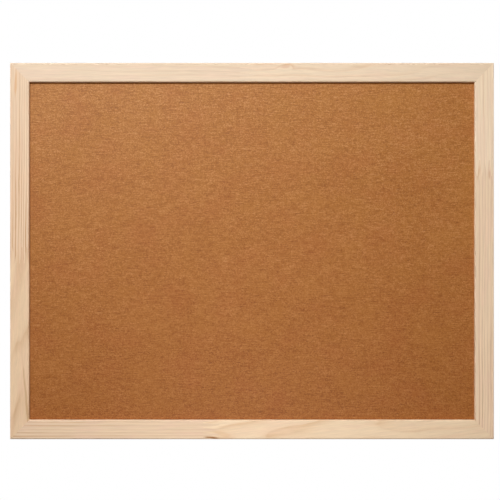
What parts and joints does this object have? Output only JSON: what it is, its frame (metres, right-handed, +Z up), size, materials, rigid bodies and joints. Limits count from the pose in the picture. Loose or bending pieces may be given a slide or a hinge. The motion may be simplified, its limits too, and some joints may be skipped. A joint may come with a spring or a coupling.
{
  "type": "cork bulletin board",
  "caption": "Wall-hung cork bulletin board: fine-grain cork panel recessed in a mitred, finger-jointed pine frame, with swinging D-ring hangers and wall bumpers at the back.",
  "frame": {"origin": "centre of the overall box of the board, hangers and bumpers included", "axes": "+X to the right along the width as seen from the front, +Y from the cork face towards the wall, +Z up"},
  "size_m": [0.45, 0.019, 0.35],
  "materials": {
    "pine": "matt clear lacquer",
    "cork": "sanded fine-grain cork",
    "softboard": "raw fibre",
    "hardboard": "screen-backed hardboard",
    "zinc_plate": "bright zinc plate",
    "bumper_rubber": "matt"
  },
  "bodies": {
    "board": {"top_rail_left_blank": "pine", "top_rail_right_blank": "pine", "bottom_rail_left_blank": "pine", "bottom_rail_right_blank": "pine", "left_stile_upper_blank": "pine", "left_stile_lower_blank": "pine", "right_stile_upper_blank": "pine", "right_stile_lower_blank": "pine", "cork_sheet": "cork", "softboard_core": "softboard", "hardboard_back": "hardboard", "v_nails_top_left": "zinc_plate", "v_nails_top_right": "zinc_plate", "v_nails_bottom_left": "zinc_plate", "v_nails_bottom_right": "zinc_plate", "left_hanger_strap": "zinc_plate", "left_hanger_screw": "zinc_plate", "right_hanger_strap": "zinc_plate", "right_hanger_screw": "zinc_plate", "left_wall_bumper": "bumper_rubber", "right_wall_bumper": "bumper_rubber"},
    "left_ring": {"left_d_ring": "zinc_plate"},
    "right_ring": {"right_d_ring": "zinc_plate"}
  },
  "joints": [
    {"name": "left_ring_swing", "type": "hinge", "parent": "board", "child": "left_ring", "pos_m": [-0.216, 0.0074, 0.11], "axis": [1, 0, 0], "range_deg": [0, 175]},
    {"name": "right_ring_swing", "type": "hinge", "parent": "board", "child": "right_ring", "pos_m": [0.216, 0.0074, 0.11], "axis": [1, 0, 0], "range_deg": [0, 175]}
  ]
}
